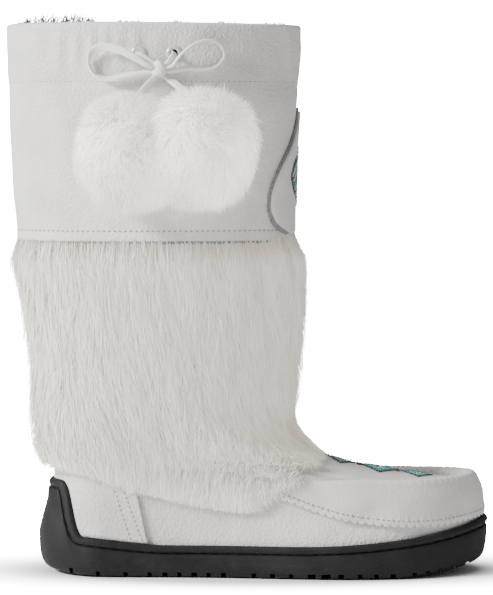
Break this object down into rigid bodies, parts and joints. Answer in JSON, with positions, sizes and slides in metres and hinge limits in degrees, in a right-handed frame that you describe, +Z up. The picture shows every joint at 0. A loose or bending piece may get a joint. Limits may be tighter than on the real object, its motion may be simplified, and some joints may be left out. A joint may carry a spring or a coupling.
{
  "type": "winter boot",
  "caption": "Mid-calf winter boot with a moccasin toe, cup sole, deep fur shaft, smooth leather cuff, front tab, bow and pompoms.",
  "frame": {"origin": "on the floor under the middle of the sole's length, on the tread", "axes": "+Z up, +X to the toe, -Y to the outer side of the foot"},
  "size_m": [0.2945, 0.162, 0.3341],
  "materials": {
    "sole": "matte black moulded rubber",
    "footbed": "grey felt",
    "leather": "white pebbled leather, satin",
    "fur": "white rabbit fur",
    "eyelet": "white enamel",
    "lace": "white flat leather lace"
  },
  "bodies": {
    "root": {"outsole": "sole", "insole": "footbed", "upper": "leather", "vamp": "leather", "heel_counter": "leather", "cuff": "leather", "cuff_tab": "leather", "fur_band": "fur", "pompom_front": "fur", "pompom_rear": "fur", "eyelet_front": "eyelet", "eyelet_rear": "eyelet", "drawstring_knot": "lace", "drawstring_lead_front": "lace", "drawstring_lead_rear": "lace", "drawstring_loop_front": "lace", "drawstring_loop_rear": "lace", "drawstring_tail_front": "lace", "drawstring_tail_rear": "lace"}
  },
  "joints": []
}
